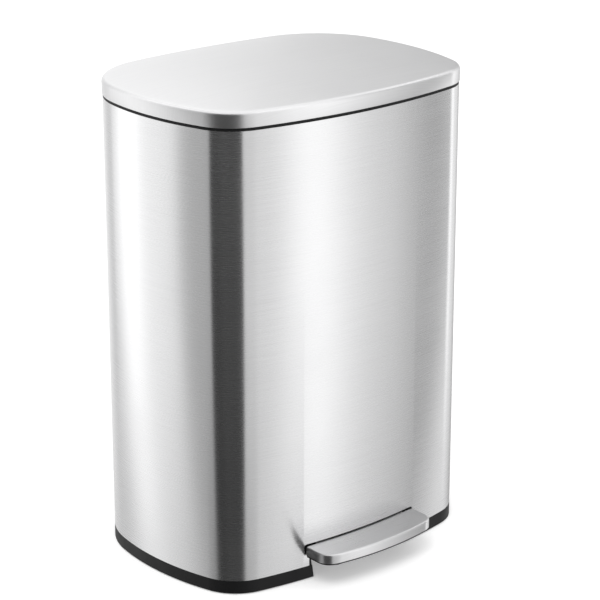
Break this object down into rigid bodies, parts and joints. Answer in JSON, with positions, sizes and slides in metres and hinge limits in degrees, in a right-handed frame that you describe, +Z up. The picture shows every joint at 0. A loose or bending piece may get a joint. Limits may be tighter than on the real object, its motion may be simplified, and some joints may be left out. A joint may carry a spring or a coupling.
{
  "type": "pedal trash can",
  "caption": "Step-on kitchen trash can with a bulged brushed-steel shell, crowned steel lid on a rear hinge, wide front pedal and lift-out inner bucket.",
  "frame": {"origin": "on the floor, at the middle of the footprint (pedal tip to the back of the hinge housing, and side to side)", "axes": "+Z up, +X to the right seen from the front, the pedal and the front of the can towards -Y"},
  "size_m": [0.4314, 0.393, 0.616],
  "materials": {
    "brushed_shell_steel": "fine horizontal brush lines, satin",
    "brushed_lid_steel": "fine lengthwise brush lines, satin",
    "brushed_tread_steel": "fine lengthwise brush lines, satin, foot wear",
    "black_moulding": "moulded polypropylene, light grain",
    "black_housing": "moulded polypropylene, spark grain",
    "grey_liner": "moulded polypropylene, satin",
    "bucket_plastic": "moulded polypropylene, satin",
    "black_rubber": "soft moulded",
    "zinc_steel": "zinc-plated pressed steel",
    "bright_pin_steel": "bright drawn",
    "screw_steel": "zinc-plated",
    "natural_nylon": "natural nylon",
    "damper_body": "moulded acetal"
  },
  "bodies": {
    "root": {"outer_shell": "brushed_shell_steel", "base_ring": "black_moulding", "base_deck": "black_moulding", "deck_ribs": "black_moulding", "foot_posts": "black_moulding", "rubber_feet": "black_rubber", "top_rim": "black_moulding", "lid_bumpers": "black_rubber", "hinge_housing": "black_housing", "housing_screws": "screw_steel", "hinge_pin": "bright_pin_steel", "lower_rod_guide": "natural_nylon", "upper_rod_guide": "natural_nylon", "rod_cover": "grey_liner", "cover_screws": "screw_steel", "damper_cylinder": "damper_body", "damper_clip": "natural_nylon", "pivot_bracket": "zinc_steel", "bracket_screws": "screw_steel", "pivot_pin": "bright_pin_steel"},
    "lid": {"lid_shell": "brushed_lid_steel", "lid_liner": "grey_liner", "lid_arms": "zinc_steel", "arm_screws": "screw_steel", "crank_pin": "bright_pin_steel"},
    "rod": {"push_rod": "zinc_steel", "rod_head": "natural_nylon", "rod_foot": "natural_nylon", "damper_rod": "bright_pin_steel", "damper_link": "natural_nylon"},
    "pedal": {"pedal_cap": "brushed_tread_steel", "pedal_core": "black_moulding", "pedal_screws": "screw_steel", "pedal_stop_pads": "black_rubber", "lever_arm": "zinc_steel", "lever_pin": "bright_pin_steel", "pivot_bushes": "natural_nylon"},
    "bucket": {"inner_bucket": "bucket_plastic"}
  },
  "joints": [
    {"name": "lid_open", "type": "hinge", "parent": "root", "child": "lid", "pos_m": [0, 0.1805, 0.585], "axis": [-1, 0, 0], "range_deg": [0, 80]},
    {"name": "pedal_press", "type": "hinge", "parent": "root", "child": "pedal", "pos_m": [0, -0.0515, 0.031], "axis": [1, 0, 0], "range_deg": [0, 10.42]},
    {"name": "rod_lift", "type": "slide", "parent": "root", "child": "rod", "axis": [0, 0, 1], "range_m": [0, 0.03755]},
    {"name": "bucket_lift", "type": "slide", "parent": "root", "child": "bucket", "axis": [0, 0, 1], "range_m": [0, 0.007]}
  ],
  "couplings": [
    {"joint": "pedal_press", "follows": "lid_open", "ratio": 0.13013},
    {"joint": "rod_lift", "follows": "lid_open", "m_per_rad": 0.026885}
  ]
}
